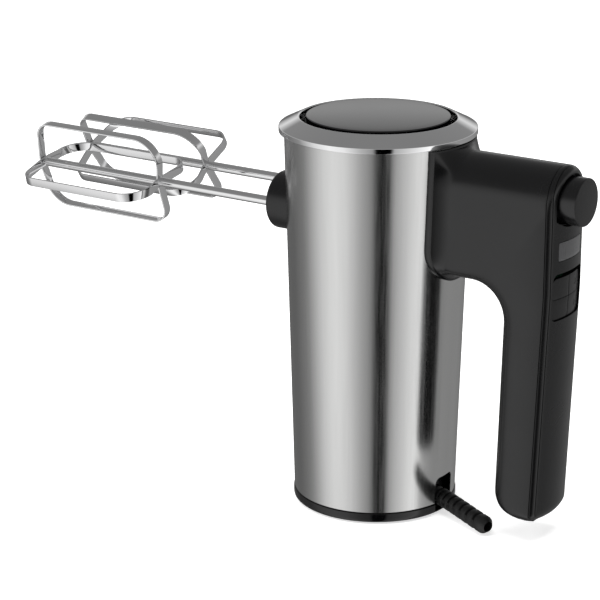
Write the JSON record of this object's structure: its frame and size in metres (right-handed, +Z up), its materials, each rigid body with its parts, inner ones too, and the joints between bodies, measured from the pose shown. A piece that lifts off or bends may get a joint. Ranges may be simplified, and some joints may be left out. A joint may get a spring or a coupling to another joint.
{
  "type": "hand mixer",
  "caption": "Upright-bodied hand mixer: tapered brushed steel body, chromed bezel, black pistol handle with eject button and keys, and crossed-loop cage beaters.",
  "frame": {"origin": "centre of the base pad underside, on the motor axis", "axes": "+Z up; -X towards the beaters, +X towards the handle; +Y to the right of a person holding the handle"},
  "size_m": [0.3076, 0.096, 0.196],
  "materials": {
    "brushed_steel": "vertical satin brushing",
    "chrome": "mirror polish",
    "gloss_black": "high gloss",
    "satin_black": "fine satin, soft to the touch",
    "smoked_window": "smoked gloss, opaque while off",
    "rubber_black": "matt",
    "nylon": "natural nylon",
    "bronze": "sintered bush metal",
    "copper": null,
    "lamination": "stacked electrical steel",
    "plain_steel": "turned",
    "carbon": "pressed carbon",
    "circuit_board": "solder mask",
    "capacitor_yellow": "film capacitor case"
  },
  "bodies": {
    "mixer_body": {"base_pad": "rubber_black", "base_plate": "gloss_black", "beater_collar": "satin_black", "capacitor": "capacitor_yellow", "control_board": "circuit_board", "cord_clamp": "satin_black", "display_window": "smoked_window", "eject_spring": "plain_steel", "front_brush_holder": "bronze", "front_carbon_brush": "carbon", "gearbox_cover": "nylon", "gearbox_housing": "nylon", "handle_flange": "satin_black", "handle_screw_lower": "plain_steel", "handle_screw_upper": "plain_steel", "handle_shell": "satin_black", "left_base_screw": "plain_steel", "left_field_coil": "copper", "left_front_bush": "bronze", "left_rear_bush": "bronze", "lower_bearing": "plain_steel", "motor_bracket": "nylon", "power_board": "circuit_board", "rear_brush_holder": "bronze", "rear_carbon_brush": "carbon", "rear_cover": "satin_black", "right_base_screw": "plain_steel", "right_field_coil": "copper", "right_front_bush": "bronze", "right_rear_bush": "bronze", "stator_core": "lamination", "steel_sleeve": "brushed_steel", "strain_relief": "rubber_black", "top_bezel": "chrome", "top_cap": "gloss_black", "upper_bearing": "plain_steel", "vent_frame": "satin_black"},
    "left_spindle_body": {"left_spindle": "plain_steel", "left_worm_wheel": "nylon"},
    "right_spindle_body": {"right_spindle": "plain_steel", "right_worm_wheel": "nylon"},
    "armature": {"motor_shaft": "plain_steel", "worm": "plain_steel", "armature_core": "copper", "commutator": "copper", "cooling_fan": "nylon"},
    "left_pin_body": {"left_push_pin": "plain_steel"},
    "right_pin_body": {"right_push_pin": "plain_steel"},
    "left_beater": {"left_beater_shaft": "chrome", "left_beater_loop_a": "chrome", "left_beater_loop_b": "chrome"},
    "right_beater": {"right_beater_shaft": "chrome", "right_beater_loop_a": "chrome", "right_beater_loop_b": "chrome"},
    "ejector": {"eject_button": "satin_black", "ejector_yoke": "plain_steel"},
    "upper_left_key": {"key_upper_left": "satin_black"},
    "upper_right_key": {"key_upper_right": "satin_black"},
    "lower_left_key": {"key_lower_left": "satin_black"},
    "lower_right_key": {"key_lower_right": "satin_black"}
  },
  "joints": [
    {"name": "left_spindle_spin", "type": "hinge", "parent": "mixer_body", "child": "left_spindle_body", "pos_m": [0, -0.02005, 0.1495], "axis": [1, 0, 0], "continuous": true},
    {"name": "right_spindle_spin", "type": "hinge", "parent": "mixer_body", "child": "right_spindle_body", "pos_m": [0, 0.02005, 0.1495], "axis": [1, 0, 0], "continuous": true},
    {"name": "motor_spin", "type": "hinge", "parent": "mixer_body", "child": "armature", "pos_m": [0, 0, 0.1495], "axis": [0, 0, 1], "continuous": true},
    {"name": "eject_press", "type": "slide", "parent": "mixer_body", "child": "ejector", "axis": [-1, 0, 0], "range_m": [0, 0.006], "stiffness_N_per_m": 600, "springref_m": -0.004, "deforming": ["eject_spring"]},
    {"name": "left_pin_push", "type": "slide", "parent": "left_spindle_body", "child": "left_pin_body", "axis": [-1, 0, 0], "range_m": [0, 0.006]},
    {"name": "right_pin_push", "type": "slide", "parent": "right_spindle_body", "child": "right_pin_body", "axis": [-1, 0, 0], "range_m": [0, 0.006]},
    {"name": "left_beater_pull", "type": "slide", "parent": "left_pin_body", "child": "left_beater", "axis": [-1, 0, 0], "range_m": [0, 0.045]},
    {"name": "right_beater_pull", "type": "slide", "parent": "right_pin_body", "child": "right_beater", "axis": [-1, 0, 0], "range_m": [0, 0.045]},
    {"name": "upper_left_key_press", "type": "slide", "parent": "mixer_body", "child": "upper_left_key", "axis": [-1, 0, 0], "range_m": [0, 0.0008], "stiffness_N_per_m": 800, "springref_m": -0.0005},
    {"name": "upper_right_key_press", "type": "slide", "parent": "mixer_body", "child": "upper_right_key", "axis": [-1, 0, 0], "range_m": [0, 0.0008], "stiffness_N_per_m": 800, "springref_m": -0.0005},
    {"name": "lower_left_key_press", "type": "slide", "parent": "mixer_body", "child": "lower_left_key", "axis": [-1, 0, 0], "range_m": [0, 0.0008], "stiffness_N_per_m": 800, "springref_m": -0.0005},
    {"name": "lower_right_key_press", "type": "slide", "parent": "mixer_body", "child": "lower_right_key", "axis": [-1, 0, 0], "range_m": [0, 0.0008], "stiffness_N_per_m": 800, "springref_m": -0.0005}
  ],
  "couplings": [
    {"joint": "right_spindle_spin", "follows": "left_spindle_spin", "ratio": -1},
    {"joint": "motor_spin", "follows": "left_spindle_spin", "ratio": -12},
    {"joint": "left_pin_push", "follows": "eject_press", "ratio": 1},
    {"joint": "right_pin_push", "follows": "eject_press", "ratio": 1}
  ]
}
